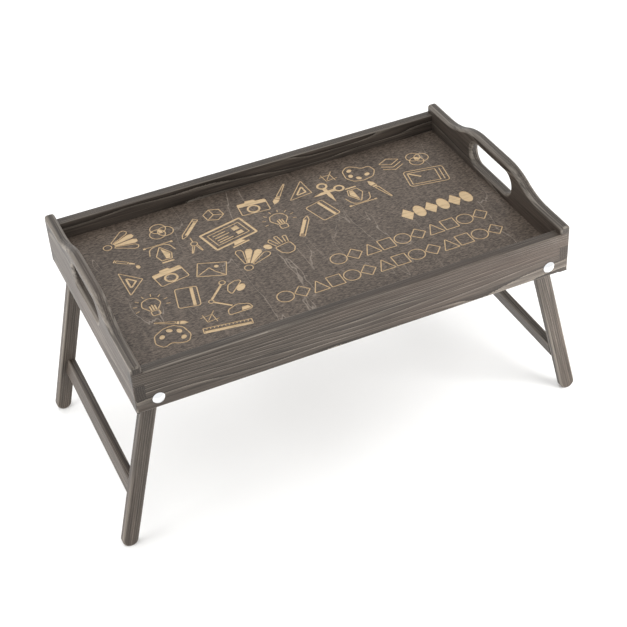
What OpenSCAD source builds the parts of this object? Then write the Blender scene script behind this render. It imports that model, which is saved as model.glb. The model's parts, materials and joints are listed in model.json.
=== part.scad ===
// Folding tray table: a box-jointed wooden tray with raised grip ends, standing on
// two leg frames that turn on carriage bolts and fold flat under the panel.
// +X runs along the length, +Y to the rear and +Z up. The origin is on the floor,
// under the middle of the tray. Sizes are millimetres and angles are degrees.

/* [Tray] */
// Length of the tray over the end boards
tray_l = 500; // [400:5:700]
// Width of the tray over the rails
tray_w = 300; // [250:5:420]
// Height of the front and rear rails
rail_h = 50; // [40:1:70]
// Thickness of the rails
rail_t = 12; // [9:0.5:18]
// Thickness of the end boards
end_t = 12; // [9:0.5:18]
// Fingers in each corner joint, counted up the rail
finger_count = 3; // [3:2:5]

/* [Grip ends] */
// Height of the end boards' corners above the rails
corner_rise = 9; // [4:0.5:15]
// Height of the grip's hump above those corners
hump_rise = 18; // [10:1:30]
// Length of the straight top of the hump
hump_flat = 54; // [30:1:80]
// Run of each S-shaped shoulder beside the hump
hump_run = 80; // [50:1:95]
// Length of the hand slot
slot_l = 90; // [70:1:110]
// Height of the hand slot
slot_h = 28; // [20:1:32]
// Wood left above the hand slot
grip_t = 12.5; // [8:0.5:20]

/* [Panel] */
// Thickness of the panel
panel_t = 4; // [3:0.5:6]
// Step down from the panel's top to the tongue round its edge
panel_rebate = 1; // [0.5:0.25:2]
// Depth of the grooves that hold the panel
groove_depth = 5; // [3:0.5:7]

/* [Leg frames] */
// Width of a leg, seen from the front
leg_w = 18; // [14:0.5:24]
// Thickness of a leg
leg_t = 10; // [8:0.5:15]
// Outward lean of the open legs from upright
splay = 14; // [5:0.5:20]
// Gap between a rail and the leg beside it, which the spacer fills
leg_inset = 8; // [3:0.5:15]
// Height of the stretcher, along the leg
stretcher_h = 20; // [15:1:30]
// Thickness of the stretcher
stretcher_t = 10; // [8:0.5:14]
// Distance from the foot's tip up to the middle of the stretcher
stretcher_up = 64; // [40:1:90]
// Diameter of the dowels between leg and stretcher
dowel_d = 5; // [4:0.5:6]
// Spacing of the two dowels in one joint
dowel_pitch = 10; // [8:0.5:14]
// Length of dowel in the leg
dowel_in_leg = 7; // [5:0.5:7.5]
// Length of dowel in the stretcher
dowel_in_stretcher = 20; // [10:1:30]

/* [Pivot hardware] */
// Diameter of the pivot bolt
bolt_d = 5; // [4:0.5:6]
// Diameter of the bolt's domed head
head_d = 13.5; // [11:0.5:17]
// Height of the bolt's domed head
head_h = 3.3; // [2.5:0.1:4.5]
// Depth of the square neck under the head
neck_h = 3; // [2:0.5:5]
// Diameter of the spacer between rail and leg
spacer_d = 14; // [10:0.5:18]
// Diameter of the washer under the nut
washer_d = 10; // [9:0.5:14]
// Thickness of the washer
washer_t = 1; // [0.8:0.1:1.6]
// Nut size across the flats
nut_af = 8; // [7:0.5:10]
// Height of the nut
nut_h = 5; // [4:0.5:7]
// Thread that stands out past the nut
thread_out = 3.85; // [1:0.05:6]

/* [Clearances] */
// Radial running clearance of a leg on its bolt
bore_gap = 0.08; // [0.03:0.01:0.1]
// Radial clearance of the fixed pieces on the bolt
fixed_gap = 0.1; // [0.05:0.01:0.2]
// Side play between a leg and the spacer or washer beside it
side_play = 0.15; // [0.1:0.05:0.5]
// Gap left where an open leg stops against the end board
stop_gap = 0.15; // [0.1:0.05:0.5]
// Height of a folded leg above the rails' lower edge
leg_recess = 3; // [1:0.5:6]
// Gap between a folded leg and the panel
fold_clear = 3.5; // [1.5:0.5:6]
// Gap between the two pairs of feet when both frames are folded
feet_gap = 15; // [5:1:40]
// Play of the panel in its grooves, above it and at each edge
panel_play = 0.2; // [0.1:0.1:0.5]
// Radial glue gap around a dowel, and past each of its ends
glue_gap = 0.05; // [0.03:0.01:0.1]

/* [Hidden] */
$fn = 96;
// Cutting bodies run this far past the surfaces that they cut
over = 1;

LEFT = -1;
RIGHT = 1;
FRONT = -1;
REAR = 1;

// Corner joints
finger_h = rail_h / finger_count;

// Grip ends, with heights counted from the tray's lower edge
corner_h = rail_h + corner_rise;
grip_h = corner_h + hump_rise;
shoulder_r = (hump_run * hump_run + hump_rise * hump_rise) / (4 * hump_rise);
shoulder_in = hump_flat / 2;
shoulder_out = shoulder_in + hump_run;
slot_z = grip_h - grip_t - slot_h / 2;

// Pivots: high enough for the folded leg to lie inside the rails, and far enough in
// for the open leg to come to rest on the end board's lower edge at its splay
pivot_z = leg_recess + leg_w / 2;
pivot_in = end_t + (leg_w / 2 + stop_gap + pivot_z * sin(splay)) / cos(splay);
pivot_x = tray_l / 2 - pivot_in;
leg_len = pivot_x - feet_gap / 2;
pivot_h = (leg_len - leg_w / 2) * cos(splay) + leg_w / 2;
tray_z = pivot_h - pivot_z;

// Panel, lying just over the folded legs
panel_z = tray_z + pivot_z + leg_w / 2 + fold_clear;
tongue_t = panel_t - panel_rebate;

// Faces across one side, as distances from the tray's middle plane
rail_out = tray_w / 2;
rail_in = rail_out - rail_t;
leg_out = rail_in - leg_inset;
leg_in = leg_out - leg_t;
washer_in = leg_in - side_play - washer_t;
bolt_end = washer_in - nut_h - thread_out;
end_in = tray_l / 2 - end_t;

// Stretcher's centre in a leg's own plane: flush with the leg's inner edge
stretcher_x = stretcher_t / 2 - leg_w / 2;
stretcher_z = stretcher_up - leg_len;

// Bolt head: a shallow dome on a thin rim
rim_h = 0.5;
dome_h = head_h - rim_h;
dome_r = (head_d * head_d / 4 + dome_h * dome_h) / (2 * dome_h);
// Nylon collar on the nut's inner end
collar_h = 1.2;
collar_d = nut_af - 0.6;

WOOD_LIGHT = "#a39c93";
WOOD_MID = "#8d867e";
WOOD_DARK = "#7b736a";
PANEL = "#665e54";
BEECH = "#c9a877";
ZINC = "#d4d7d8";
NYLON = "#34322f";

// ---- Places ----

// Local +Z points out of the tray through the pivot, and local z is the distance
// from the tray's middle plane
module at_pivot(side, row)
    translate([side * pivot_x, 0, pivot_h]) rotate([-90 * row, 0, 0]) children();

// A leg frame's own plane: the pivot axis is at the origin, the open leg points
// along -Z and +X is the frame's outer edge
module in_frame(side)
    translate([side * pivot_x, 0, pivot_h]) rotate([0, -side * splay, 0])
        mirror([side == LEFT ? 1 : 0, 0, 0]) children();

// A flat outline drawn in X and Z, given its thickness along Y from y0 to y1
module slab(y0, y1)
    translate([0, y1, 0]) rotate([90, 0, 0]) linear_extrude(y1 - y0) children();

// ---- Tray ----

// The fingers that a rail keeps at one end: every other one, from the bottom up
module rail_fingers(row)
    for (side = [LEFT, RIGHT], step = [0 : 2 : finger_count - 1])
        translate([side * (tray_l - end_t) / 2, row * (rail_out + rail_in) / 2,
                   tray_z + (step + 0.5) * finger_h])
            cube([end_t, rail_t, finger_h], center = true);

// The space that the grooves leave for the panel's tongue
module panel_pocket()
    panel_block(groove_depth, tongue_t + panel_play);

module rail_pivot_holes(row)
    for (side = [LEFT, RIGHT]) at_pivot(side, row) {
        translate([0, 0, rail_in - over])
            cylinder(h = rail_t + 2 * over, d = bolt_d + 2 * fixed_gap);
        translate([0, 0, rail_out - (neck_h + fixed_gap) / 2])
            cube([bolt_d + 2 * fixed_gap, bolt_d + 2 * fixed_gap, neck_h + fixed_gap],
                 center = true);
    }

module rail(row)
    color(WOOD_MID) difference() {
        union() {
            translate([0, row * (rail_out + rail_in) / 2, tray_z + rail_h / 2])
                cube([2 * end_in, rail_t, rail_h], center = true);
            rail_fingers(row);
        }
        panel_pocket();
        rail_pivot_holes(row);
    }

// The S-shaped shoulder is two equal arcs that meet where they touch
module hump_outline()
    difference() {
        translate([-shoulder_out, 0]) square([2 * shoulder_out, grip_h]);
        for (m = [0, 1]) mirror([m, 0]) {
            translate([shoulder_out, corner_h + shoulder_r]) circle(shoulder_r, $fn = 360);
            difference() {
                translate([shoulder_in, corner_h + hump_rise / 2])
                    square([hump_run + over, hump_rise / 2 + over]);
                translate([shoulder_in, grip_h - shoulder_r]) circle(shoulder_r, $fn = 360);
            }
        }
    }

module slot_outline() {
    straight = slot_l - slot_h;
    square([straight, slot_h], center = true);
    for (end = [-1, 1]) translate([end * straight / 2, 0]) circle(d = slot_h);
}

module end_outline()
    difference() {
        union() {
            translate([-rail_out, 0]) square([2 * rail_out, corner_h]);
            hump_outline();
        }
        translate([0, slot_z]) slot_outline();
    }

module end_board(side)
    color(WOOD_LIGHT) difference() {
        translate([side * (tray_l - end_t) / 2 - end_t / 2, 0, tray_z])
            rotate([90, 0, 90]) linear_extrude(end_t) end_outline();
        panel_pocket();
        for (row = [FRONT, REAR]) rail_fingers(row);
    }

// A flat block that starts at the panel's underside and reaches past the boards' inner
// faces, or stops short of them
module panel_block(reach, t)
    translate([0, 0, panel_z + t / 2])
        cube([2 * (end_in + reach), 2 * (rail_in + reach), t], center = true);

module tray_panel()
    color(PANEL) union() {
        panel_block(-panel_play, panel_t);
        panel_block(groove_depth - panel_play, tongue_t);
    }

// ---- Leg frames ----

// Round ends: the upper one clears the panel, the lower one is the foot
module leg_outline() {
    straight = leg_len - leg_w / 2;
    translate([-leg_w / 2, -straight]) square([leg_w, straight]);
    circle(d = leg_w);
    translate([0, -straight]) circle(d = leg_w);
}

// Children at each of the two dowels of one joint, with local +Z towards the rail
module at_dowels(row)
    for (step = [-0.5, 0.5])
        translate([stretcher_x, 0, stretcher_z + step * dowel_pitch])
            rotate([-90 * row, 0, 0]) children();

module dowel_holes(row)
    at_dowels(row)
        translate([0, 0, leg_in - dowel_in_stretcher - glue_gap])
            cylinder(h = dowel_in_stretcher + dowel_in_leg + 2 * glue_gap,
                     d = dowel_d + 2 * glue_gap);

module leg(side, row)
    color(WOOD_DARK) in_frame(side) difference() {
        slab(row == REAR ? leg_in : -leg_out, row == REAR ? leg_out : -leg_in)
            leg_outline();
        rotate([-90 * row, 0, 0]) translate([0, 0, leg_in - over])
            cylinder(h = leg_t + 2 * over, d = bolt_d + 2 * bore_gap);
        dowel_holes(row);
    }

module stretcher(side)
    color(WOOD_MID) in_frame(side) difference() {
        translate([stretcher_x, 0, stretcher_z])
            cube([stretcher_t, 2 * leg_in, stretcher_h], center = true);
        for (row = [FRONT, REAR]) dowel_holes(row);
    }

module dowels(side)
    color(BEECH) in_frame(side)
        for (row = [FRONT, REAR]) at_dowels(row)
            translate([0, 0, leg_in - dowel_in_stretcher])
                cylinder(h = dowel_in_stretcher + dowel_in_leg, d = dowel_d);

// ---- Pivot hardware ----

module ring(z0, z1, outer_d)
    translate([0, 0, z0]) difference() {
        cylinder(h = z1 - z0, d = outer_d);
        translate([0, 0, -over])
            cylinder(h = z1 - z0 + 2 * over, d = bolt_d + 2 * fixed_gap);
    }

module bolt(side, row)
    color(ZINC) at_pivot(side, row) {
        translate([0, 0, bolt_end]) cylinder(h = rail_out - bolt_end, d = bolt_d);
        translate([0, 0, rail_out - neck_h / 2])
            cube([bolt_d, bolt_d, neck_h], center = true);
        translate([0, 0, rail_out]) cylinder(h = rim_h, d = head_d);
        translate([0, 0, rail_out + rim_h]) intersection() {
            translate([0, 0, dome_h - dome_r]) sphere(dome_r);
            cylinder(h = dome_h, d = head_d);
        }
    }

module spacer(side, row)
    color(NYLON) at_pivot(side, row) ring(leg_out + side_play, rail_in, spacer_d);

module washer(side, row)
    color(ZINC) at_pivot(side, row) ring(washer_in, leg_in - side_play, washer_d);

module nut(side, row)
    color(ZINC) at_pivot(side, row) difference() {
        translate([0, 0, washer_in - nut_h]) {
            cylinder(h = collar_h, d = collar_d);
            translate([0, 0, collar_h])
                cylinder(h = nut_h - collar_h, d = nut_af / cos(30), $fn = 6);
        }
        translate([0, 0, washer_in - nut_h - over])
            cylinder(h = nut_h + 2 * over, d = bolt_d + 2 * fixed_gap);
    }

rail(FRONT);  // front_rail
rail(REAR);  // rear_rail
end_board(LEFT);  // left_end_board
end_board(RIGHT);  // right_end_board
tray_panel();
leg(LEFT, FRONT);  // left_front_leg
leg(LEFT, REAR);  // left_rear_leg
stretcher(LEFT);  // left_stretcher
dowels(LEFT);  // left_dowels
leg(RIGHT, FRONT);  // right_front_leg
leg(RIGHT, REAR);  // right_rear_leg
stretcher(RIGHT);  // right_stretcher
dowels(RIGHT);  // right_dowels
bolt(LEFT, FRONT);  // left_front_bolt
bolt(LEFT, REAR);  // left_rear_bolt
bolt(RIGHT, FRONT);  // right_front_bolt
bolt(RIGHT, REAR);  // right_rear_bolt
spacer(LEFT, FRONT);  // left_front_spacer
spacer(LEFT, REAR);  // left_rear_spacer
spacer(RIGHT, FRONT);  // right_front_spacer
spacer(RIGHT, REAR);  // right_rear_spacer
washer(LEFT, FRONT);  // left_front_washer
washer(LEFT, REAR);  // left_rear_washer
washer(RIGHT, FRONT);  // right_front_washer
washer(RIGHT, REAR);  // right_rear_washer
nut(LEFT, FRONT);  // left_front_nut
nut(LEFT, REAR);  // left_rear_nut
nut(RIGHT, FRONT);  // right_front_nut
nut(RIGHT, REAR);  // right_rear_nut
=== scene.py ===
"""Folding tray table: a stained ash tray with an engraved plywood panel on two folding leg frames.

Every wooden board is a copy of its CAD solid with its edges rounded, as sanding leaves them, and
the panel carries laser-engraved drawing tools and shapes. Lengths are in metres unless a name
says otherwise.
"""

import json
import math

import bmesh
import bpy
from bpy.props import FloatProperty, FloatVectorProperty, IntProperty, PointerProperty
from mathutils import Matrix, Vector


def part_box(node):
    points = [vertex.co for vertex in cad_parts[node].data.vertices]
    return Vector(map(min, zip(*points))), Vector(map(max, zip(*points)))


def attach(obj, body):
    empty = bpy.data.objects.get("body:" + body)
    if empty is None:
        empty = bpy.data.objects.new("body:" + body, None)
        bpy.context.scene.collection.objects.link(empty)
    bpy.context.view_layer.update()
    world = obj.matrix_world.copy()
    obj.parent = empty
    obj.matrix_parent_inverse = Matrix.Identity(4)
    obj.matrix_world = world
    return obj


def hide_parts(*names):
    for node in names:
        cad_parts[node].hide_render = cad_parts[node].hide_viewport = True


bl_info = {
    "name": "Folding Tray Table",
    "version": (1, 0, 0),
    "blender": (4, 5, 0),
    "location": "View3D > Sidebar > Tray Table",
    "description": "Builds the boards, engraved panel, leg frames and pivot bolts of a tray table",
    "category": "Add Mesh",
}

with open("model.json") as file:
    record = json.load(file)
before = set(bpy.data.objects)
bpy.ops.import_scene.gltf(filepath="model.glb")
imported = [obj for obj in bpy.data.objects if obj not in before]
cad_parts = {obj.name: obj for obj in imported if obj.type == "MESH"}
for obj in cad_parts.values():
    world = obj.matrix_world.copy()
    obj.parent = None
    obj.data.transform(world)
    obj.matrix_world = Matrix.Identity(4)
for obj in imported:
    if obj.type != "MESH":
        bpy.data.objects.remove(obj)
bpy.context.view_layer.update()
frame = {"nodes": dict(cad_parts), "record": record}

MM = 0.001
WELD = 1e-6  # points of a CAD mesh closer than this are one point
NEAR = 5e-5  # two lengths that differ by less than this are the same
ALONG = 0.99  # an edge whose part along an axis is more than this runs along it
FACET = math.radians(0.4)  # CAD facets that meet at less than this are one flat face
SMOOTH = math.radians(32)  # faces that meet at less than this are shaded as one surface
CORNER = math.radians(40)  # an edge that turns by more than this is a real corner
SIDES = ("left", "right")
ROWS = ("front", "rear")
CORNERS = tuple(f"{side}_{row}" for side in SIDES for row in ROWS)


def linear(hex_value):
    """The linear colour, with full alpha, of an sRGB hex value such as #8a8682."""
    parts = (int(hex_value[i : i + 2], 16) / 255 for i in (1, 3, 5))
    return (*(c / 12.92 if c <= 0.04045 else ((c + 0.055) / 1.055) ** 2.4 for c in parts), 1.0)


def colour(name, description, hex_value):
    """A colour that the user may change."""
    return FloatVectorProperty(
        name=name, description=description, subtype="COLOR", size=4, min=0, max=1,
        default=linear(hex_value),
    )


def length(name, description, millimetres):
    """A length that the user may change, in metres."""
    return FloatProperty(
        name=name, description=description, subtype="DISTANCE", unit="LENGTH", min=0,
        default=millimetres * MM, precision=5,
    )


# ---- Settings ----


class TrayTableWood(bpy.types.PropertyGroup):
    """Rounding and stain of the boards and legs"""

    grip_round: length("Grip rounding", "Radius along the top and the slot of an end board", 4.2)
    corner_round: length("Corner rounding", "Radius of the tray's outer corners", 2.4)
    arris_round: length("Arris rounding", "Radius along the other edges of the boards", 1.3)
    leg_round: length("Leg rounding", "Radius along the edges of legs and stretchers", 2.2)
    ring_width: length("Ring width", "Mean spacing of the growth rings", 2.3)
    fibre_width: length("Fibre width", "Width of the fine streaks along the grain", 1.3)
    dark: colour("Early wood", "Stain where the wood is open and drinks it", "#1d1813")
    middle: colour("Body", "Stain over most of the wood", "#3f3832")
    light: colour("Late wood", "Stain where the wood is dense", "#645d55")
    warm: colour("Warm cast", "Brown that shows through the stain in places", "#3f2f25")
    # Lighter colour on the rounded edges: partly stain thinned by sanding, partly a painted
    # highlight
    rubbed_and_highlight: colour("Rubbed edges", "Wood where sanding has thinned the stain", "#827b72")


class TrayTablePanel(bpy.types.PropertyGroup):
    """Finish and engraving of the panel"""

    stroke: length("Stroke", "Width of an engraved line", 1.25)
    depth: length("Depth", "Depth of the engraving", 0.35)
    stain: colour("Stain", "Stain over most of the panel", "#312924")
    pale: colour("Pale grain", "Stain on the dense grain", "#6d6156")
    crack: colour("Checks", "Bare wood in the fine checks", "#a5998c")
    bare: colour("Engraved wood", "Floor of the engraving", "#bfa682")


class TrayTableHardware(bpy.types.PropertyGroup):
    """Bolts, nuts, washers and spacers"""

    shaft: length("Bolt diameter", "Diameter of the bolt's shaft", 5)
    rim: length("Rim height", "Height of the rim under the bolt's dome", 0.5)
    pitch: length("Thread pitch", "Rise of the bolt's thread", 0.8)
    threaded: length("Threaded length", "Length of thread at the bolt's end", 14)
    spacer_round: length("Spacer rounding", "Radius along a spacer's outer edges", 0.7)
    washer_round: length("Washer rounding", "Radius along a washer's outer edges", 0.15)
    nut_round: length("Nut rounding", "Radius along a nut's outer edges", 0.3)
    steps: IntProperty(
        name="Steps", description="Steps round a turned part", min=24, max=128, default=64
    )
    zinc: colour("Zinc", "Zinc plate on the steel", "#b3b5b5")
    nylon: colour("Nylon", "Moulded nylon", "#26241f")
    beech: colour("Beech", "Dowels", "#c9a877")


class TrayTableStage(bpy.types.PropertyGroup):
    """Floor, lights and camera"""

    floor: colour("Floor", "Pale floor", "#f7f7f6")
    floor_size: length("Floor size", "Side of the square floor", 9000)
    sky: FloatProperty(name="Room light", description="Light from all round", min=0, default=1.16)
    key: FloatProperty(
        name="Key light", description="Power of the large light", unit="POWER", min=0, default=10
    )
    side: FloatProperty(
        name="Side light", description="Power of the low light at the left", unit="POWER", min=0,
        default=34,
    )
    front: FloatProperty(
        name="Front light", description="Power of the low light at the right front",
        unit="POWER", min=0, default=9,
    )
    lens: FloatProperty(
        name="Lens", description="Focal length on a 36 mm sensor", unit="CAMERA", min=10,
        default=81.5,
    )


# ---- Materials ----


def put(tree, kind, values=(), links=(), stops=(), **settings):
    """Adds one node with its settings, its sockets' values, the links into it and ramp stops.

    A link comes from a socket, or from a node, which then gives its first output.
    """
    node = tree.nodes.new("ShaderNode" + kind)
    for name, value in settings.items():
        setattr(node, name, value)
    for socket, value in dict(values).items():
        node.inputs[socket].default_value = value
    for socket, source in dict(links).items():
        if isinstance(source, bpy.types.Node):
            source = source.outputs[0]
        tree.links.new(source, node.inputs[socket])
    if stops:
        elements = node.color_ramp.elements
        while len(elements) < len(stops):
            elements.new(0.5)
        for element, (position, value) in zip(elements, stops):
            element.position = position
            element.color = value
    return node


def per(millimetres):
    """The scale that gives a pattern features of that size."""
    return 1 / (millimetres * MM)


def grey(value):
    return (value, value, value, 1.0)


def shaded(value, share):
    """A colour with that share of its brightness."""
    return tuple(share * part for part in value[:3]) + (1.0,)


def new_material(name, shader_values):
    """A material, its node tree, its Principled shader with fixed values, and object places."""
    material = bpy.data.materials.new(name)
    material.use_nodes = True
    tree = material.node_tree
    tree.nodes.clear()
    shader = put(tree, "BsdfPrincipled", shader_values)
    put(tree, "OutputMaterial", links={"Surface": shader})
    return material, tree, shader, put(tree, "TexCoord").outputs["Object"]


def connect(tree, shader, body, gloss=None, bump=None):
    """Links a finish's colour, and its roughness and bump if it has them, to the shader."""
    for node, socket in ((body, "Base Color"), (gloss, "Roughness"), (bump, "Normal")):
        if node:
            tree.links.new(node.outputs[0], shader.inputs[socket])


def stained_ash(name, turn, heart):
    """Ash, planed and sanded, under a grey-brown water stain and matt lacquer.

    turn brings the board's grain onto X and heart is where the tree's middle then lies. The
    growth rings are true rings round that line, so a wide face shows long flames, an edge shows
    straight lines and an end shows the rings themselves. Open early wood drinks the stain and
    goes dark. The rounded edges are painted lighter: partly stain thinned by sanding, partly a
    painted highlight where the arrises catch the light.
    """
    wood = bpy.context.scene.tray_table_wood
    material, tree, shader, place = new_material(name, {"IOR": 1.5, "Specular IOR Level": 0.3})
    grain = put(tree, "Mapping", {"Rotation": turn, "Location": heart}, {"Vector": place})
    # The rings wander by a few millimetres over some 150 mm of length
    slow = put(tree, "Mapping", {"Scale": (0.12, 1, 1)}, {"Vector": grain})
    wander = put(tree, "TexNoise", {"Scale": per(36), "Detail": 2.0}, {"Vector": slow})
    bent = put(
        tree, "VectorMath", {1: (0.011,) * 3}, {0: wander.outputs["Color"], 2: grain},
        operation="MULTIPLY_ADD",
    )
    # A wave of scale 1 has a ring every pi / 10 metres
    wave = {"Scale": math.pi / 10 / wood.ring_width, "Distortion": 0.3, "Detail": 2.0,
            "Detail Scale": 4.0}
    rings = put(
        tree, "TexWave", wave, {"Vector": bent}, wave_type="RINGS", rings_direction="X",
        wave_profile="SAW",
    ).outputs["Fac"]
    # Fibres are long thin streaks, drawn a little coarser than real ones so that they show
    along = put(tree, "Mapping", {"Scale": (0.018, 1, 1)}, {"Vector": grain})
    streak = {"Scale": 1 / wood.fibre_width, "Detail": 5.0, "Roughness": 0.65}
    fibre = put(tree, "TexNoise", streak, {"Vector": along})
    pore = {"Scale": 0.45 / wood.fibre_width, "Detail": 2.0}
    pores = put(tree, "TexNoise", pore, {"Vector": along})
    patch = put(tree, "TexNoise", {"Scale": per(62), "Detail": 3.0}, {"Vector": slow})
    body = put(tree, "ValToRGB", links={"Fac": rings}, stops=(
        (0.0, wood.dark), (0.3, wood.middle), (0.75, wood.middle), (1.0, wood.light)
    ))
    streaks = put(tree, "ValToRGB", links={"Fac": fibre}, stops=(
        (0.32, grey(0.42)), (0.5, grey(0.95)), (0.68, grey(1.75))
    ))
    open_pores = put(
        tree, "ValToRGB", links={"Fac": pores}, stops=((0.3, grey(0.6)), (0.44, grey(1)))
    )
    for over, share in ((streaks, 0.85), (open_pores, 0.6)):
        body = put(
            tree, "MixRGB", {"Fac": share}, {"Color1": body, "Color2": over},
            blend_type="MULTIPLY",
        )
    cast = {"From Min": 0.48, "From Max": 0.75, "To Max": 0.55}
    cast = put(tree, "MapRange", cast, {"Value": patch})
    body = put(tree, "MixRGB", {"Color2": wood.warm}, {"Fac": cast, "Color1": body})
    # End grain drinks the most stain: the more a face looks along the grain, the darker it is
    facing = put(tree, "TexCoord").outputs["Normal"]
    facing = put(
        tree, "Mapping", {"Rotation": turn}, {"Vector": facing}, vector_type="NORMAL"
    )
    facing = put(tree, "SeparateXYZ", links={"Vector": facing})
    facing = put(tree, "Math", links={0: facing}, operation="ABSOLUTE")
    drunk = put(
        tree, "ValToRGB", links={"Fac": facing}, stops=((0.5, grey(1)), (0.95, grey(0.55)))
    )
    body = put(
        tree, "MixRGB", {"Fac": 1.0}, {"Color1": body, "Color2": drunk}, blend_type="MULTIPLY"
    )
    # Rounded edges are painted lighter: partly stain thinned by sanding, partly a painted
    # highlight
    rub = put(tree, "Attribute", attribute_name="rub").outputs["Fac"]
    worn_and_highlit = {"From Min": 0.35, "From Max": 0.65, "To Min": 0.1, "To Max": 0.6}
    worn_and_highlit = put(tree, "MapRange", worn_and_highlit, {"Value": pores})
    worn_and_highlit = put(tree, "Math", links={0: rub, 1: worn_and_highlit}, operation="MULTIPLY")
    body = put(tree, "MixRGB", {"Color2": wood.rubbed_and_highlight}, {"Fac": worn_and_highlit, "Color1": body})
    gloss = put(tree, "MapRange", {"To Min": 0.56, "To Max": 0.36}, {"Value": fibre})
    relief = put(tree, "Math", {1: 0.4}, {0: rings, 2: fibre}, operation="MULTIPLY_ADD")
    bump = put(tree, "Bump", {"Strength": 0.5, "Distance": 0.25 * MM}, {"Height": relief})
    connect(tree, shader, body, gloss, bump)
    return material


def stained_ply():
    """Birch plywood, sanded, under dark stain and matt lacquer: fine mottled grain along the
    tray, faint brush marks across it, and hairline checks where bare wood shows."""
    panel = bpy.context.scene.tray_table_panel
    values = {"IOR": 1.5, "Specular IOR Level": 0.3}
    material, tree, shader, place = new_material("stained_ply", values)
    along = put(tree, "Mapping", {"Scale": (0.4, 1, 1)}, {"Vector": place})
    mottle = {"Scale": per(1.6), "Detail": 4.0, "Roughness": 0.75}
    grain = put(tree, "TexNoise", mottle, {"Vector": along})
    cloud = put(tree, "TexNoise", {"Scale": per(45), "Detail": 3.0}, {"Vector": place})
    slant = {"Rotation": (0, 0, math.radians(28)), "Scale": (1, 0.06, 1)}
    slant = put(tree, "Mapping", slant, {"Vector": place})
    brushed = put(tree, "TexNoise", {"Scale": per(3.3), "Detail": 2.0}, {"Vector": slant})
    body = put(
        tree, "ValToRGB", links={"Fac": grain}, stops=((0.36, panel.stain), (0.66, panel.pale))
    )
    for pattern, low, high in ((brushed, 0.86, 1.14), (cloud, 0.88, 1.1)):
        tint = put(
            tree, "ValToRGB", links={"Fac": pattern}, stops=((0.3, grey(low)), (0.7, grey(high)))
        )
        body = put(
            tree, "MixRGB", {"Fac": 1.0}, {"Color1": body, "Color2": tint},
            blend_type="MULTIPLY",
        )
    # A check is where a slow noise passes through its middle value: a long wavy hairline
    drawn = put(tree, "Mapping", {"Scale": (1, 0.22, 1)}, {"Vector": place})
    field = put(tree, "TexNoise", {"Scale": per(45), "Detail": 4.0}, {"Vector": drawn})
    field = put(tree, "Math", {1: 0.5}, {0: field}, operation="SUBTRACT")
    field = put(tree, "Math", links={0: field}, operation="ABSOLUTE")
    line = {"From Max": 0.006, "To Min": 1.0, "To Max": 0.0}
    line = put(tree, "MapRange", line, {"Value": field})
    where = put(tree, "TexNoise", {"Scale": per(110), "Detail": 1.0}, {"Vector": place})
    shown = {"From Min": 0.46, "From Max": 0.58, "To Max": 0.5}
    shown = put(tree, "MapRange", shown, {"Value": where})
    checks = put(tree, "Math", links={0: line, 1: shown}, operation="MULTIPLY")
    body = put(tree, "MixRGB", {"Color2": panel.crack}, {"Fac": checks, "Color1": body})
    gloss = put(tree, "MapRange", {"To Min": 0.6, "To Max": 0.44}, {"Value": grain})
    bump = put(tree, "Bump", {"Strength": 0.35, "Distance": 0.2 * MM}, {"Height": grain})
    connect(tree, shader, body, gloss, bump)
    return material


def mottled(name, values, size, detail, stops, stretch=None, gloss=None, bump=None):
    """A material whose colour, gloss and bump follow one noise of that size in millimetres.

    stops are the colour's, stretch is the noise's scale on each axis, gloss is the range of the
    roughness, and bump is its strength and its depth in millimetres.
    """
    material, tree, shader, place = new_material(name, values)
    if stretch:
        place = put(tree, "Mapping", {"Scale": stretch}, {"Vector": place})
    noise = put(tree, "TexNoise", {"Scale": per(size), "Detail": detail}, {"Vector": place})
    body = put(tree, "ValToRGB", links={"Fac": noise}, stops=stops)
    if gloss:
        gloss = {"To Min": gloss[0], "To Max": gloss[1]}
        gloss = put(tree, "MapRange", gloss, {"Value": noise})
    if bump:
        bump = {"Strength": bump[0], "Distance": bump[1] * MM}
        bump = put(tree, "Bump", bump, {"Height": noise})
    connect(tree, shader, body, gloss, bump)
    return material


def engraved_birch():
    """Bare birch laid open by the laser: pale tan, rough, with a few scorched streaks."""
    bare = bpy.context.scene.tray_table_panel.bare
    return mottled(
        "engraved_birch", {"IOR": 1.5, "Roughness": 0.8}, 3.3, 3.0,
        ((0.3, shaded(bare, 0.72)), (0.5, bare)), stretch=(0.2, 1, 1), bump=(0.3, 0.1),
    )


def zinc_steel():
    """Steel with bright zinc plate, pressed and tumbled: soft mirror with a fine cloudy grain."""
    zinc = bpy.context.scene.tray_table_hardware.zinc
    return mottled(
        "zinc_steel", {"Metallic": 1.0}, 1.4, 3.0,
        ((0.35, shaded(zinc, 0.86)), (0.6, zinc)), gloss=(0.2, 0.36), bump=(0.15, 0.05),
    )


def moulded_nylon():
    """Black nylon, moulded: even colour and a fine spark-eroded grain that softens the gloss."""
    nylon = bpy.context.scene.tray_table_hardware.nylon
    return mottled(
        "moulded_nylon", {"IOR": 1.53}, 0.4, 2.0,
        ((0.35, nylon), (0.7, shaded(nylon, 1.6))), gloss=(0.4, 0.58), bump=(0.3, 0.05),
    )


def turned_beech():
    """Beech dowel, turned and unfinished: pale pinkish wood with short darker flecks."""
    beech = bpy.context.scene.tray_table_hardware.beech
    return mottled(
        "turned_beech", {"IOR": 1.5, "Roughness": 0.7}, 0.8, 3.0,
        ((0.36, shaded(beech, 0.7)), (0.5, beech)), stretch=(1, 0.08, 1), bump=(0.2, 0.05),
    )


def pale_laminate():
    """Matt laminate sheet: near-white and even, with a faint mottle too fine to see as marks."""
    floor = bpy.context.scene.tray_table_stage.floor
    return mottled(
        "pale_laminate", {"Roughness": 0.9, "IOR": 1.45}, 170, 3.0,
        ((0.35, shaded(floor, 0.985)), (0.65, floor)),
    )


def material_of(name, build, *details):
    """The material of that name, built the first time that it is asked for."""
    return bpy.data.materials.get(name) or build(*details)


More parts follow.
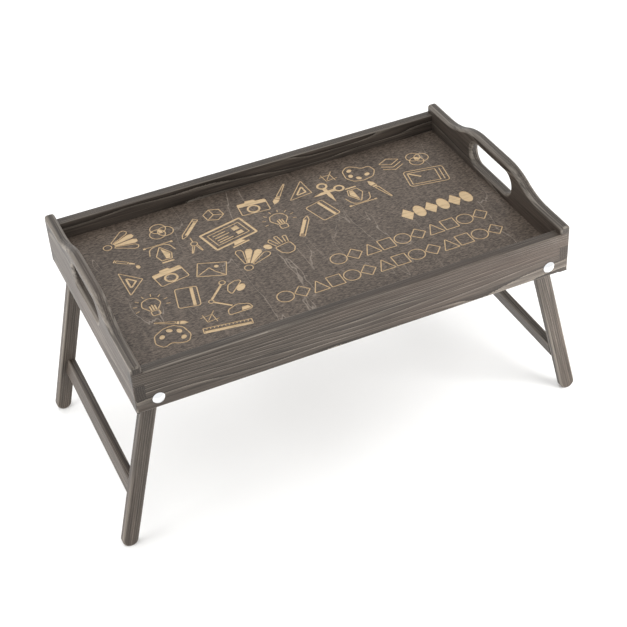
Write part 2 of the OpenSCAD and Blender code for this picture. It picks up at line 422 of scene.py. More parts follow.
def ash_along_x():
    heart = (0.0, 0.085, -0.205)
    return material_of("ash_along_x", stained_ash, "ash_along_x", (0, 0, 0), heart)


def ash_along_y():
    turn = (0, 0, math.radians(-90))
    return material_of("ash_along_y", stained_ash, "ash_along_y", turn, (0.0, -0.14, -0.24))


def ash_of_legs(side):
    """Ash with its grain along that side's open legs."""
    top, foot = leg_ends(side)
    lean = math.atan2(top.x - foot.x, top.z - foot.z)
    name = f"ash_along_{side}_legs"
    turn = (0, math.radians(90) - lean, 0)
    return material_of(name, stained_ash, name, turn, (0.0, 0.06, 0.11))


# ---- Places, from the CAD ----


def centre(node):
    low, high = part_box(node)
    return (low + high) / 2


def pivot(side):
    """The middle of the axis that a leg frame turns about."""
    at = centre(f"{side}_front_bolt")
    return Vector((at.x, 0, at.z))


def leg_ends(side):
    """The centres of a leg's round top and of its round foot."""
    low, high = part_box(f"{side}_front_leg")
    top = pivot(side)
    radius = high.z - top.z
    reach = high.x - radius if side == "right" else low.x + radius
    return top, Vector((reach, 0, low.z + radius))


def hand_slot(side):
    """A box round an end board's hand slot, a little larger than its rounding."""
    opening = next(
        item for item in frame["record"]["physics"]["openings"]
        if item["name"] == f"{side}_hand_slot"
    )
    low, high = (Vector(corner) for corner in opening["box_m"])
    room = Vector((0, 10 * MM, 8 * MM))
    return low - room, high + room


# ---- Making pieces ----


def finish_piece(obj, body, slot, *nodes):
    """The piece rides on a body and hides the CAD nodes that it stands in for; slot is not used.
    """
    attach(obj, body)
    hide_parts(*nodes)


def as_object(bm, name, *materials):
    """A new object, smooth-shaded, from a bmesh that is then freed."""
    mesh = bpy.data.meshes.new(name)
    for face in bm.faces:
        face.smooth = True
    bm.to_mesh(mesh)
    bm.free()
    for material in materials:
        mesh.materials.append(material)
    mesh.set_sharp_from_angle(angle=SMOOTH)
    obj = bpy.data.objects.new(name, mesh)
    bpy.context.scene.collection.objects.link(obj)
    return obj


def welded(node):
    """A bmesh of a CAD node with its points merged and its flat faces made whole."""
    bm = bmesh.new()
    bm.from_mesh(frame["nodes"][node].data)
    bmesh.ops.remove_doubles(bm, verts=bm.verts, dist=WELD)
    bmesh.ops.dissolve_limit(bm, angle_limit=FACET, verts=bm.verts, edges=bm.edges)
    return bm


def freeze(obj):
    """Makes an object's modifiers part of its mesh."""
    bpy.context.view_layer.update()
    shape = obj.evaluated_get(bpy.context.evaluated_depsgraph_get())
    mesh = bpy.data.meshes.new_from_object(shape)
    old = obj.data
    obj.modifiers.clear()
    obj.data = mesh
    mesh.name = obj.name
    bpy.data.meshes.remove(old)


def rounded(bm, name, material, radius_of, segments=4):
    """An object from a welded bmesh, each edge rounded by the radius that radius_of gives.

    The rounded faces carry a point attribute, 1 along their middle and 0 at their borders,
    which the wood uses to paint those edges lighter: partly stain thinned by sanding, partly a
    painted highlight.
    """
    weight = bm.edges.layers.float.new("bevel_weight_edge")
    radii = {edge: radius_of(edge) if is_corner(edge) else 0.0 for edge in bm.edges}
    widest = max(radii.values())
    for edge, radius in radii.items():
        edge[weight] = radius / widest
    obj = as_object(bm, name, material, material)
    bevel = obj.modifiers.new("Rounding", "BEVEL")
    bevel.limit_method = "WEIGHT"
    bevel.offset_type = "OFFSET"
    bevel.width = widest
    bevel.segments = segments
    bevel.profile = 0.5
    bevel.use_clamp_overlap = False
    bevel.loop_slide = False
    bevel.harden_normals = True
    bevel.material = 1
    freeze(obj)
    mesh = obj.data
    inner = [True] * len(mesh.vertices)
    for polygon in mesh.polygons:
        if polygon.material_index == 0:
            for index in polygon.vertices:
                inner[index] = False
        polygon.material_index = 0
    # Marks the rounded faces, which the wood paints lighter as thinned stain and painted highlight
    rub = mesh.attributes.new("rub", "FLOAT", "POINT")
    rub.data.foreach_set("value", [float(flag) for flag in inner])
    mesh.materials.pop(index=1)
    return obj


def direction(edge):
    """The edge's unit direction, with its parts made positive."""
    run = (edge.verts[1].co - edge.verts[0].co).normalized()
    return Vector(abs(part) for part in run)


def middle(edge):
    return (edge.verts[0].co + edge.verts[1].co) / 2


def same(a, b):
    return abs(a - b) < NEAR


def is_corner(edge):
    """An edge where the surface turns by more than a curve's facets do."""
    return len(edge.link_faces) == 2 and edge.calc_face_angle() > CORNER


def from_axis(point, at):
    """A point's distance from the pivot axis through at."""
    return math.hypot(point.x - at.x, point.z - at.z)


# ---- Boards and legs ----


class TRAYTABLE_OT_rails(bpy.types.Operator):
    """Front and rear rails, rounded between the corner joints and at the tray's corners"""

    bl_idname = "tray_table.rails"
    bl_label = "Rails"

    def execute(self, context):
        wood = context.scene.tray_table_wood
        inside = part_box("right_end_board")[0].x
        for row in ROWS:
            node = f"{row}_rail"
            low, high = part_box(node)
            outer = low.y if row == "front" else high.y

            def radius_of(edge, low=low, high=high, outer=outer):
                at, along = middle(edge), direction(edge)
                in_joint = abs(at.x) > inside
                if along.x > ALONG and same(at.z, high.z) and not in_joint:
                    return wood.arris_round
                if along.x > ALONG and same(at.z, low.z) and (same(at.y, outer) or not in_joint):
                    return wood.arris_round
                if along.z > ALONG and same(abs(at.x), high.x) and same(at.y, outer):
                    return wood.corner_round
                if along.y > ALONG and same(abs(at.x), high.x) and same(at.z, low.z):
                    return wood.arris_round
                return 0.0

            bm = welded(node)
            for x in (-inside, inside):
                bmesh.ops.bisect_plane(
                    bm, geom=bm.verts[:] + bm.edges[:] + bm.faces[:], dist=WELD,
                    plane_co=(x, 0, 0), plane_no=(1, 0, 0),
                )
            obj = rounded(bm, f"{node}_finished", ash_along_x(), radius_of)
            finish_piece(obj, "tray", "rail_ash", node)
        return {"FINISHED"}


class TRAYTABLE_OT_end_boards(bpy.types.Operator):
    """End boards with a full round along the grip and the slot"""

    bl_idname = "tray_table.end_boards"
    bl_label = "End boards"

    def execute(self, context):
        wood = context.scene.tray_table_wood
        rail_low, rail_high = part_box("rear_rail")
        for side in SIDES:
            node = f"{side}_end_board"
            low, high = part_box(node)
            outer = low.x if side == "left" else high.x
            slot = hand_slot(side)

            def radius_of(edge, low=low, high=high, outer=outer, slot=slot):
                at, along = middle(edge), direction(edge)
                if slot[0].y < at.y < slot[1].y and slot[0].z < at.z < slot[1].z:
                    return wood.grip_round
                if same(abs(at.y), high.y) and same(at.x, outer) and along.z > ALONG:
                    return wood.corner_round
                if at.z > rail_high.z + NEAR:
                    at_end = same(abs(at.y), high.y)
                    return wood.corner_round if at_end else wood.grip_round
                if same(at.z, low.z) and along.y > ALONG and abs(at.y) < rail_low.y:
                    return wood.arris_round
                return 0.0

            obj = rounded(welded(node), f"{node}_finished", ash_along_y(), radius_of, 6)
            finish_piece(obj, "tray", "end_ash", node)
        return {"FINISHED"}


class TRAYTABLE_OT_legs(bpy.types.Operator):
    """Four legs with rounded edges and round feet"""

    bl_idname = "tray_table.legs"
    bl_label = "Legs"

    def execute(self, context):
        wood = context.scene.tray_table_wood
        for side in SIDES:
            top, foot = leg_ends(side)
            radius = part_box(f"{side}_front_leg")[1].z - top.z
            run = foot - top

            def radius_of(edge, top=top, run=run, radius=radius):
                at = middle(edge)
                if direction(edge).y > 0.1:
                    return 0.0
                at.y = 0
                share = min(1.0, max(0.0, (at - top).dot(run) / run.length_squared))
                off = (at - top - share * run).length
                return wood.leg_round if abs(off - radius) < NEAR else 0.0

            for row in ROWS:
                node = f"{side}_{row}_leg"
                obj = rounded(welded(node), f"{node}_finished", ash_of_legs(side), radius_of, 5)
                finish_piece(obj, f"{side}_legs", "leg_ash", node)
        return {"FINISHED"}


class TRAYTABLE_OT_stretchers(bpy.types.Operator):
    """The bar between each pair of legs, with the dowels that hold it"""

    bl_idname = "tray_table.stretchers"
    bl_label = "Stretchers"

    def execute(self, context):
        wood = context.scene.tray_table_wood
        for side in SIDES:
            node = f"{side}_stretcher"

            def radius_of(edge):
                return wood.leg_round if direction(edge).y > ALONG else 0.0

            obj = rounded(welded(node), f"{node}_finished", ash_along_y(), radius_of)
            finish_piece(obj, f"{side}_legs", "leg_ash", node)
            for slot in frame["nodes"][f"{side}_dowels"].material_slots:
                slot.material = material_of("turned_beech", turned_beech)
        return {"FINISHED"}


# ---- Pivot hardware ----


class TRAYTABLE_OT_bolts(bpy.types.Operator):
    """Carriage bolts: a turned dome on a thin rim, a plain shaft and a threaded end"""

    bl_idname = "tray_table.bolts"
    bl_label = "Bolts"

    def execute(self, context):
        hardware = context.scene.tray_table_hardware
        metal = material_of("zinc_steel", zinc_steel)
        rail_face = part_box("rear_rail")[1].y
        for corner in CORNERS:
            node = f"{corner}_bolt"
            low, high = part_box(node)
            tip = min(abs(low.y), abs(high.y))
            crown = max(abs(low.y), abs(high.y))
            bm = bolt_shape(hardware, tip, rail_face, crown, (high.x - low.x) / 2)
            turn = math.radians(90 if corner.endswith("front") else -90)
            move = Matrix.Translation(pivot(corner.split("_")[0]))
            matrix = move @ Matrix.Rotation(turn, 4, "X")
            bmesh.ops.transform(bm, matrix=matrix, verts=bm.verts)
            obj = as_object(bm, f"{node}_turned", metal)
            finish_piece(obj, "tray", "zinc_steel", node)
        return {"FINISHED"}


def bolt_shape(hardware, tip, seat, crown, head_radius):
    """A bolt along Z: its tip, the underside of its head and its crown at those heights."""
    bm = bmesh.new()
    shaft = hardware.shaft / 2
    depth = 0.45 * hardware.pitch  # depth of the thread, and height of its lower flank
    run_in = 0.4 * hardware.pitch  # plain length before the first thread and after the last
    dome = crown - seat - hardware.rim
    curve = (head_radius**2 + dome**2) / (2 * dome)
    outline = [bm.verts.new((0, 0, tip)), bm.verts.new((shaft - depth, 0, tip))]
    turns = round(hardware.threaded / hardware.pitch)
    for turn in range(turns):
        base = tip + turn * hardware.pitch + run_in
        outline.append(bm.verts.new((shaft - depth, 0, base)))
        outline.append(bm.verts.new((shaft, 0, base + depth)))
    top = tip + turns * hardware.pitch + run_in
    corner = 0.12 * MM  # chamfer round the underside of the head
    for x, z in (
        (shaft - depth, top), (shaft, top + depth), (shaft, seat), (head_radius - corner, seat),
        (head_radius, seat + corner), (head_radius, seat + hardware.rim),
    ):
        outline.append(bm.verts.new((x, 0, z)))
    for a, b in zip(outline, outline[1:]):
        bm.edges.new((a, b))
    # The dome's arc is a point spun from the rim up to the crown
    bmesh.ops.spin(
        bm, geom=[outline[-1]], cent=(0, 0, crown - curve), axis=(0, 1, 0), dvec=(0, 0, 0),
        angle=-math.asin(head_radius / curve), steps=12, use_merge=False, use_duplicate=False,
    )
    bmesh.ops.spin(
        bm, geom=bm.verts[:] + bm.edges[:], cent=(0, 0, 0), axis=(0, 0, 1), dvec=(0, 0, 0),
        angle=math.tau, steps=hardware.steps, use_merge=True, use_duplicate=False,
    )
    bmesh.ops.remove_doubles(bm, verts=bm.verts, dist=WELD)
    bmesh.ops.recalc_face_normals(bm, faces=bm.faces)
    return bm


def turned_copies(kind, suffix, material, slot, radius):
    """A rounded copy of each corner's ring or nut, its bore's own edges left sharp."""
    bore = 0.6 * bpy.context.scene.tray_table_hardware.shaft  # a little past the bore's wall
    for corner in CORNERS:
        node = f"{corner}_{kind}"
        at = pivot(corner.split("_")[0])

        def radius_of(edge, at=at):
            return radius if from_axis(middle(edge), at) > bore else 0.0

        obj = rounded(welded(node), f"{node}_{suffix}", material, radius_of, 3)
        finish_piece(obj, "tray", slot, node)


class TRAYTABLE_OT_rings(bpy.types.Operator):
    """Nylon spacers beside the rails and steel washers under the nuts"""

    bl_idname = "tray_table.rings"
    bl_label = "Spacers and washers"

    def execute(self, context):
        hardware = context.scene.tray_table_hardware
        nylon = material_of("moulded_nylon", moulded_nylon)
        metal = material_of("zinc_steel", zinc_steel)
        turned_copies("spacer", "moulded", nylon, "spacer_nylon", hardware.spacer_round)
        turned_copies("washer", "pressed", metal, "zinc_steel", hardware.washer_round)
        return {"FINISHED"}


class TRAYTABLE_OT_nuts(bpy.types.Operator):
    """Locking nuts with a rounded hexagon and collar"""

    bl_idname = "tray_table.nuts"
    bl_label = "Nuts"

    def execute(self, context):
        hardware = context.scene.tray_table_hardware
        metal = material_of("zinc_steel", zinc_steel)
        turned_copies("nut", "pressed", metal, "zinc_steel", hardware.nut_round)
        return {"FINISHED"}


# ---- Panel and its engraving ----


class Marks:
    """Flat shapes for the engraving, drawn in millimetres about a motif's own middle."""

    def __init__(self, stroke):
        self.bm = bmesh.new()
        self.placed = self.bm.verts.layers.int.new("placed")
        self.stroke = stroke

    def line(self, points, closed=False, width=0.0, bend=0.0):
        """A ribbon through the points: its straights are extruded and its bends spun."""
        width = width or self.stroke
        bend = max(bend, width / 2)
        points = [Vector((x, y, 0)) for x, y in points]
        start = (points[0] + points[1]) / 2 if closed else points[0]
        stops = points[1:] + [points[0], start] if closed else points[1:]
        heading = (stops[0] - start).normalized()
        across = Vector((-heading.y, heading.x, 0)) * width / 2
        tip = self.bm.edges.new((self.bm.verts.new(start + across),
                                 self.bm.verts.new(start - across)))
        at = start
        for stop, after in zip(stops, stops[1:] + [None]):
            if after is None:
                self._straight(tip, stop - at)
                break
            onward = (after - stop).normalized()
            turn = math.atan2(heading.cross(onward).z, heading.dot(onward))
            room = 0.49 * min((stop - at).length, (after - stop).length)
            radius = max(width / 2, min(bend, room / max(1e-6, math.tan(abs(turn) / 2))))
            cut = radius * math.tan(abs(turn) / 2)
            tip = self._straight(tip, stop - heading * cut - at)
            at = stop - heading * cut
            hub = at + Vector((-heading.y, heading.x, 0)) * math.copysign(radius, turn)
            tip = self._bend(tip, hub, turn, radius)
            at = stop + onward * cut
            heading = onward

    def _straight(self, tip, step):
        grown = bmesh.ops.extrude_edge_only(self.bm, edges=[tip])["geom"]
        ends = [item for item in grown if isinstance(item, bmesh.types.BMVert)]
        bmesh.ops.translate(self.bm, vec=step, verts=ends)
        return self.bm.edges.get(ends)

    def _bend(self, tip, hub, turn, radius):
        steps = max(1, round(abs(turn) * (3 if radius < self.stroke else 5)))
        grown = bmesh.ops.spin(
            self.bm, geom=[*tip.verts, tip], cent=hub, axis=(0, 0, 1), dvec=(0, 0, 0),
            angle=turn, steps=steps, use_merge=False, use_duplicate=False,
        )["geom_last"]
        return [item for item in grown if isinstance(item, bmesh.types.BMEdge)][0]

    def ring(self, x, y, radius, width=0.0):
        width = width or self.stroke
        inner = self.bm.verts.new((x + radius - width / 2, y, 0))
        outer = self.bm.verts.new((x + radius + width / 2, y, 0))
        tip = self.bm.edges.new((inner, outer))
        bmesh.ops.spin(
            self.bm, geom=[inner, outer, tip], cent=(x, y, 0), axis=(0, 0, 1), dvec=(0, 0, 0),
            angle=math.tau, steps=40, use_merge=True, use_duplicate=False,
        )

    def disc(self, x, y, across, up=0.0, turn=0.0):
        """A filled ellipse, with its two radii."""
        place = Matrix.Translation((x, y, 0)) @ Matrix.Rotation(math.radians(turn), 4, "Z")
        bmesh.ops.create_circle(
            self.bm, cap_ends=True, segments=28, radius=1,
            matrix=place @ Matrix.Diagonal((across, up or across, 1, 1)),
        )

    def fill(self, *points):
        """A filled shape with a few corners."""
        self.bm.faces.new([self.bm.verts.new((x, y, 0)) for x, y in points])

    def settle(self, x, y, turn=0.0, size=1.0):
        """Moves what was drawn since the last call to its place on the panel."""
        fresh = [vert for vert in self.bm.verts if not vert[self.placed]]
        place = Matrix.Translation((x, y, 0)) @ Matrix.Rotation(math.radians(turn), 4, "Z")
        bmesh.ops.transform(self.bm, matrix=place @ Matrix.Scale(size, 4), verts=fresh)
        for vert in fresh:
            vert[self.placed] = 1


def polar(radius, degrees):
    return radius * math.cos(math.radians(degrees)), radius * math.sin(math.radians(degrees))


def swatch_fan(marks):
    marks.ring(0, 0, 5)
    for middle_angle, solid in ((-30, False), (-10, True), (10, True), (30, False)):
        leaf = [polar(9, middle_angle - 8), polar(33, middle_angle - 8),
                polar(37, middle_angle - 4), polar(37, middle_angle + 4),
                polar(33, middle_angle + 8), polar(9, middle_angle + 8)]
        if solid:
            marks.fill(*leaf)
        else:
            marks.line(leaf, closed=True, bend=2)


def three_rings(marks):
    for degrees in (90, 210, 330):
        x, y = polar(6, degrees)
        marks.ring(x, y, 9)
    marks.disc(0, 0, 2.2, 3.6)


def nib_and_curve(marks):
    marks.line([(-6, -14), (6, -14), (9, -4), (0, 12), (-9, -4)], closed=True)
    marks.fill((0, -12), (4.6, -12.5), (7.2, -4), (0, 9))
    marks.line([(-7, -18), (7, -18)], width=2.4)
    marks.line([(-15, 0), (-11, 15), (11, 15), (15, 0)], bend=10)
    marks.line([(-16, 16.5), (16, 16.5)])
    for x in (-16, 16):
        marks.line([(x - 1.5, 16.5), (x + 1.5, 16.5)], width=3)


def pencil(marks):
    marks.line([(-21, 0), (-14, -3), (19, -3), (19, 3), (-14, 3)], closed=True)
    marks.fill((-13, -2.6), (14, -2.6), (14, 0.4), (-13, 0.4))
    marks.line([(15.5, -3), (15.5, 3)])


def solid_cube(marks):
    marks.line([polar(12, degrees) for degrees in range(30, 390, 60)], closed=True)
    for degrees in (90, 210, 330):
        marks.line([(0, 0), polar(11.6, degrees)])


def camera(marks):
    marks.line([(-17, -12), (17, -12), (17, 11), (-17, 11)], closed=True, bend=2)
    marks.fill((-17, 4.5), (17, 4.5), (17, 11), (-17, 11))
    marks.fill((-8, 11), (6, 11), (4, 15), (-6, 15))
    marks.ring(-1, -3.5, 6.8, 2.4)


def paint_brush(marks):
    marks.line([(-22, -0.6), (4, -2.2), (4, 2.2), (-22, 0.6)], closed=True)
    marks.fill((5.6, -2.8), (9, -3.1), (9, 3.1), (5.6, 2.8))
    marks.fill((10, -3.4), (15, -3.6), (21, 0), (15, 3.2), (10, 3.4))


def set_square(marks):
    marks.line([(-22, 0), (22, 0), (0, 21)], closed=True)
    marks.line([(-10, 4.5), (10, 4.5), (0, 13.5)], closed=True, width=2.2)


def crop_frame(marks):
    marks.line([(-11, 6), (6, 6), (6, -11)])
    marks.line([(-6, 11), (-6, -6), (11, -6)])
    marks.line([(-4, -4), (11, 12)])


def palette(marks):
    outline = [(-2, -18), (12, -15), (19, -4), (16, 7), (6, 6), (1, 12), (-8, 18), (-17, 10),
               (-19, -5), (-13, -15)]
    marks.line(outline, closed=True, bend=7)
    for x, y, turn in ((-9, 8, 30), (-12, -3, 80), (-5, -11, 120), (7, -8, 30)):
        marks.disc(x, y, 3.6, 2.8, turn)


def stacked_sheets(marks):
    marks.line([(0, 12), (13, 5), (0, -2), (-13, 5)], closed=True)
    marks.line([(-13, -1), (0, -8), (13, -1)])
    marks.line([(-13, -7), (0, -14), (13, -7)])


def scissors(marks):
    marks.ring(-1, 14, 5.4, 2.6)
    marks.ring(15, 1, 5.4, 2.6)
    marks.fill((-3.6, 9), (1.6, 9), (2.2, -9), (0.6, -23), (-2.6, -9))
    marks.fill((10, -1.4), (10, 3), (-8, 2.2), (-20, -2.4), (-8, -3))


def notebook(marks):
    marks.line([(-12, -17), (12, -17), (12, 17), (-12, 17)], closed=True, bend=3)
    marks.fill((4, -16), (7.6, -16), (7.6, 16), (4, 16))


def tablet(marks):
    marks.line([(-24, -16), (24, -16), (24, 16), (-24, 16)], closed=True, bend=4)
    marks.line([(-20, -12), (14, -12), (14, 12), (-20, 12)], closed=True)
    marks.line([(19, -12), (19, 12)])
    marks.line([(-19, 11), (-6, 1)], width=2.2)


def dividers(marks):
    marks.ring(0, 0, 3.8)
    marks.line([(0, 4.4), (0, 13)])
    marks.line([(-3, -3.4), (-13, -28), (-1, -4.6)], width=1.2)
    marks.line([(3, -3.4), (7, -29), (1, -4.6)], width=1.2)


def monitor(marks):
    marks.line([(-27, -14), (27, -14), (27, 21), (-27, 21)], closed=True, width=2.8)
    marks.line([(-21, -8), (21, -8), (21, 15), (-21, 15)], closed=True)
    for y, reach in ((10, 0), (5, 2), (0, -2), (-4, 2)):
        marks.line([(-17, y), (reach, y)], width=1.6)
    marks.fill((8, 4), (16, 4), (16, 11), (8, 11))
    marks.fill((8, -5), (16, -5), (16, 1), (8, 1))
    marks.fill((-5, -15), (5, -15), (8, -20), (-8, -20))
    marks.line([(-11, -22), (11, -22)], width=2.4)


def light_bulb(marks):
    marks.line([(-4.5, -9), (-5.5, -7), (-11, 1), (-8, 10), (0, 13), (8, 10), (11, 1), (5.5, -7),
                (4.5, -9)], bend=6)
    marks.line([(-4.5, -10), (4.5, -10), (4.5, -18), (-4.5, -18)], closed=True, bend=2)
    for x in (-2.8, 0, 2.8):
        marks.line([(x, -9), (x, 1 - abs(x) / 2)], width=1.8)
    for degrees in range(-15, 200, 30):
        marks.line([polar(15.5, degrees), polar(20, degrees)], width=1.1)


def brush_pot(marks):
    marks.line([(-10, 2), (-9, -10), (-4, -16), (4, -16), (9, -10), (10, 2)], closed=True, bend=4)
    marks.line([(-7, 4), (-10, 16), (-6, 20), (-3, 5)], bend=2)
    marks.line([(-1, 5), (0, 20), (4, 19), (3, 5)], bend=2)
    marks.line([(6, 4), (9, 16), (13, 14), (9, 3)], bend=2)
    marks.disc(-15, 9, 4, 5.4, 20)


def dropper(marks):
    marks.line([(-13, -2), (3, -2), (3, 2), (-13, 2)], closed=True)
    marks.fill((4.6, -1.8), (12, -1.2), (12, 1.2), (4.6, 1.8))
    marks.fill((-16, -3), (-14.4, -3), (-14.4, 3), (-16, 3))
    marks.disc(18, -5, 2.6, 4, 40)


def picture(marks):
    marks.line([(-16, -12), (16, -12), (16, 12), (-16, 12)], closed=True)
    marks.line([(-15, -11), (-3, 3), (4, -4), (15, -11)])
    marks.disc(5, 5, 2.6)


def desk_lamp(marks):
    marks.line([(-13, -31), (15, -31), (13, -22), (1, -17), (-11, -22)], closed=True, bend=6)
    marks.fill((2, -29.6), (13, -29.6), (11, -24), (4, -24))
    marks.line([(-4, -17), (-19, -3)], width=2.4)
    marks.ring(-21.5, -0.5, 2.8)
    marks.line([(-19.6, 2.6), (-1.5, 22)], width=2.6)
    marks.ring(1, 25, 3.4)
    marks.line([(3, 1), (22, 20), (14, 22), (5, 18), (1, 9)], closed=True, bend=5)
    marks.disc(16, 8, 6.6, 4.4, 45)


def ruler(marks):
    marks.line([(-26, -4), (26, -4), (26, 4), (-26, 4)], closed=True)
    marks.fill((-25, -3.6), (25, -3.6), (25, -0.4), (-25, -0.4))
    for step in range(-22, 23, 4):
        marks.line([(step, 3.6), (step, 1.4)], width=1)


def pointed_tiles(marks):
    """A bold band of lozenges and discs."""
    for step in range(6):
        x = 15 * step - 37.5
        if step % 2:
            marks.disc(x, 0, 6.6, 11.5)
        else:
            marks.fill((x, -12), (x + 8, 0), (x, 12), (x - 8, 0))


def outline_row(marks, count):
    """Thin outlines side by side: ring, lozenge, triangle and square in turn."""
    for step in range(count):
        x = 19.6 * (step - (count - 1) / 2)
        if step % 4 == 0:
            marks.ring(x, 0, 9.3)
        elif step % 4 == 1:
            marks.line([(x - 9, 0), (x, -10), (x + 9, 0), (x, 10)], closed=True)
        elif step % 4 == 2:
            marks.line([(x - 9, -9.5), (x + 9, -9.5), (x, 9.5)], closed=True)
        else:
            marks.line([(x - 8, -9), (x + 8, -9), (x + 8, 9), (x - 8, 9)], closed=True)


def draw_motifs(marks):
    """Every motif at its listed place: millimetres from the panel's middle, degrees, size."""
    for motif, *place in (
        (swatch_fan, -196, 97, 8, 0.95),
        (three_rings, -132.5, 98.5, 10),
        (nib_and_curve, -144, 58, 0),
        (pencil, -101.5, 87, 48),
        (solid_cube, -67, 100, 8),
        (camera, -20, 92, -5),
        (paint_brush, 16, 101, 232),
        (set_square, 36, 99, 230, 0.95),
        (crop_frame, 81, 105, 5, 0.85),
        (palette, 118, 98, 0),
        (stacked_sheets, 159, 96, 0),
        (three_rings, 192, 91, 30, 0.95),
        (scissors, 68, 78, 0),
        (notebook, 47.5, 47, 15.5),
        (nib_and_curve, 95, 55, 180),
        (paint_brush, 124, 56, 105),
        (tablet, 184, 52, -10),
        (dividers, -107, 57, 0),
        (monitor, -65, 53, 13),
        (light_bulb, -4, 54, 0),
        (brush_pot, -20, 6, 12),
        (dropper, -187, 60, -38, 0.9),
        (set_square, -201, 23, -90),
        (camera, -151, 14, 9),
        (picture, -107, 3, -22),
        (swatch_fan, -70, -14, 58, 0.95),
        (light_bulb, -187, -26, 0),
        (notebook, -148, -31, -12),
        (desk_lamp, -107, -50, 0),
        (paint_brush, -178, -64, -25, 0.85),
        (palette, -186, -87, 200),
        (crop_frame, -140, -76, 5, 0.8),
        (ruler, -128, -97, -9),
        (pencil, 16, 28, 238),
        (pointed_tiles, 165.5, -8, 0),
    ):
        motif(marks)
        marks.settle(*place)
    outline_row(marks, 10)
    marks.settle(111, -46.5)
    outline_row(marks, 14)
    marks.settle(72, -80)


class TRAYTABLE_OT_panel(bpy.types.Operator):
    """Plywood panel with its top engraved: drawing tools, a bold band and two rows of shapes"""

    bl_idname = "tray_table.panel"
    bl_label = "Engraved panel"

    def execute(self, context):
        settings = context.scene.tray_table_panel
        top_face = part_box("tray_panel")[1].z
        ply = material_of("stained_ply", stained_ply)
        birch = material_of("engraved_birch", engraved_birch)
        marks = Marks(settings.stroke / MM)
        draw_motifs(marks)
        bm = marks.bm
        bmesh.ops.remove_doubles(bm, verts=bm.verts, dist=0.002)
        bmesh.ops.recalc_face_normals(bm, faces=bm.faces)
        place = Matrix.Translation((0, 0, top_face - settings.depth)) @ Matrix.Scale(MM, 4)
        bmesh.ops.transform(bm, matrix=place, verts=bm.verts)
        top = bmesh.ops.extrude_face_region(bm, geom=bm.faces[:])["geom"]
        lifted = [item for item in top if isinstance(item, bmesh.types.BMVert)]
        # The cutter stands well clear of the panel's top
        bmesh.ops.translate(bm, vec=(0, 0, 3 * settings.depth), verts=lifted)
        bmesh.ops.recalc_face_normals(bm, faces=bm.faces)
        cutter = as_object(bm, "engraving_cutter", birch)
        obj = as_object(welded("tray_panel"), "tray_panel_engraved", ply)
        cut = obj.modifiers.new("Engraving", "BOOLEAN")
        cut.operation = "DIFFERENCE"
        cut.solver = "EXACT"
        cut.use_self = True
        cut.material_mode = "TRANSFER"
        cut.object = cutter
        freeze(obj)
        bpy.data.objects.remove(cutter)
        for polygon in obj.data.polygons:
            polygon.use_smooth = False
        finish_piece(obj, "tray", "panel_ply", "tray_panel")
        return {"FINISHED"}


# ---- Stage ----

# Places in metres from the middle of the table's footprint; a light's size is its side
LIGHT_TARGET = Vector((0, 0, 0.15))
KEY_PLACE, KEY_SIZE = (-0.4, 0.9, 2.2), 1.8
SIDE_PLACE, SIDE_SIZE = (-1.5, -0.1, 0.06), 0.7
FRONT_PLACE, FRONT_SIZE = (0.62, -0.62, 0.2), 0.4
CAMERA_PLACE = (-0.481, -1.190, 1.147)
CAMERA_HEADING = math.radians(-21.13)  # seen from above, from square on to the front
CAMERA_DOWN = math.radians(38.27)
CAMERA_ROLL = math.radians(-4.55)
CAMERA_SHIFT = (0.038, -0.005)


class TRAYTABLE_OT_stage(bpy.types.Operator):
    """Pale floor, soft lights, and a camera that looks down on the tray's front left corner"""

    bl_idname = "tray_table.stage"
    bl_label = "Stage"

    def execute(self, context):
        stage = context.scene.tray_table_stage
        bm = bmesh.new()
        bmesh.ops.create_grid(bm, x_segments=1, y_segments=1, size=stage.floor_size / 2)
        floor = as_object(bm, "floor", pale_laminate())
        world = bpy.data.worlds.new("studio")
        world.use_nodes = True
        background = world.node_tree.nodes["Background"]
        background.inputs["Color"].default_value = (1, 1, 1, 1)
        background.inputs["Strength"].default_value = stage.sky
        context.scene.world = world
        context.scene.view_settings.view_transform = "Standard"
        soft_light("key_light", stage.key, KEY_SIZE, KEY_PLACE)
        soft_light("side_light", stage.side, SIDE_SIZE, SIDE_PLACE)
        front = soft_light("front_light", stage.front, FRONT_SIZE, FRONT_PLACE)
        front.visible_glossy = False
        place_camera(stage)
        return {"FINISHED"}


def soft_light(name, power, size, place):
    """A square light that looks at the middle of the table."""
    light = bpy.data.lights.new(name, "AREA")
    light.energy = power
    light.size = size
    obj = bpy.data.objects.new(name, light)
    obj.location = place
    obj.rotation_euler = (LIGHT_TARGET - Vector(place)).to_track_quat("-Z", "Y").to_euler()
    obj.visible_camera = False
    bpy.context.scene.collection.objects.link(obj)
    return obj


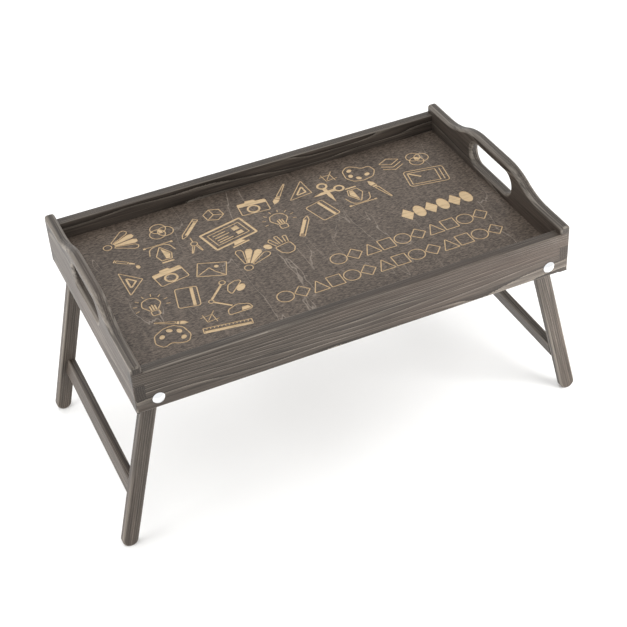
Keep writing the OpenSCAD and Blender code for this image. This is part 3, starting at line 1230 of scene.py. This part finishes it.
def place_camera(stage):
    """Looks down at 38 degrees, from 21 degrees left of the front and with a slight tilt."""
    camera_data = bpy.data.cameras.new("camera")
    camera_data.lens = stage.lens
    camera_data.sensor_width = 36
    camera_data.shift_x, camera_data.shift_y = CAMERA_SHIFT
    obj = bpy.data.objects.new("camera", camera_data)
    heading = Matrix.Rotation(CAMERA_HEADING, 4, "Z")
    tilt = Matrix.Rotation(math.radians(90) - CAMERA_DOWN, 4, "X")
    roll = Matrix.Rotation(CAMERA_ROLL, 4, "Z")
    obj.matrix_world = Matrix.Translation(CAMERA_PLACE) @ heading @ tilt @ roll
    bpy.context.scene.collection.objects.link(obj)
    bpy.context.scene.camera = obj


# ---- Add-on ----

STEPS = (
    TRAYTABLE_OT_rails,
    TRAYTABLE_OT_end_boards,
    TRAYTABLE_OT_panel,
    TRAYTABLE_OT_legs,
    TRAYTABLE_OT_stretchers,
    TRAYTABLE_OT_bolts,
    TRAYTABLE_OT_rings,
    TRAYTABLE_OT_nuts,
    TRAYTABLE_OT_stage,
)

GROUPS = {
    "tray_table_wood": TrayTableWood,
    "tray_table_panel": TrayTablePanel,
    "tray_table_hardware": TrayTableHardware,
    "tray_table_stage": TrayTableStage,
}


class TRAYTABLE_PT_sidebar(bpy.types.Panel):
    """Lists the settings and the steps that build the table"""

    bl_idname = "TRAYTABLE_PT_sidebar"
    bl_label = "Tray Table"
    bl_space_type = "VIEW_3D"
    bl_region_type = "UI"
    bl_category = "Tray Table"

    def draw(self, context):
        for name, group in GROUPS.items():
            box = self.layout.box()
            box.label(text=group.__doc__)
            settings = getattr(context.scene, name)
            for prop in group.__annotations__:
                box.prop(settings, prop)
        for step in STEPS:
            self.layout.operator(step.bl_idname)


def register():
    for group in GROUPS.values():
        bpy.utils.register_class(group)
    for step in STEPS:
        bpy.utils.register_class(step)
    bpy.utils.register_class(TRAYTABLE_PT_sidebar)
    for name, group in GROUPS.items():
        setattr(bpy.types.Scene, name, PointerProperty(type=group))


def unregister():
    for name in GROUPS:
        delattr(bpy.types.Scene, name)
    bpy.utils.unregister_class(TRAYTABLE_PT_sidebar)
    for step in reversed(STEPS):
        bpy.utils.unregister_class(step)
    for group in reversed(GROUPS.values()):
        bpy.utils.unregister_class(group)


def main():
    register()
    bpy.ops.tray_table.rails()
    bpy.ops.tray_table.end_boards()
    bpy.ops.tray_table.panel()
    bpy.ops.tray_table.legs()
    bpy.ops.tray_table.stretchers()
    bpy.ops.tray_table.bolts()
    bpy.ops.tray_table.rings()
    bpy.ops.tray_table.nuts()
    bpy.ops.tray_table.stage()


if __name__ == "__main__":
    main()
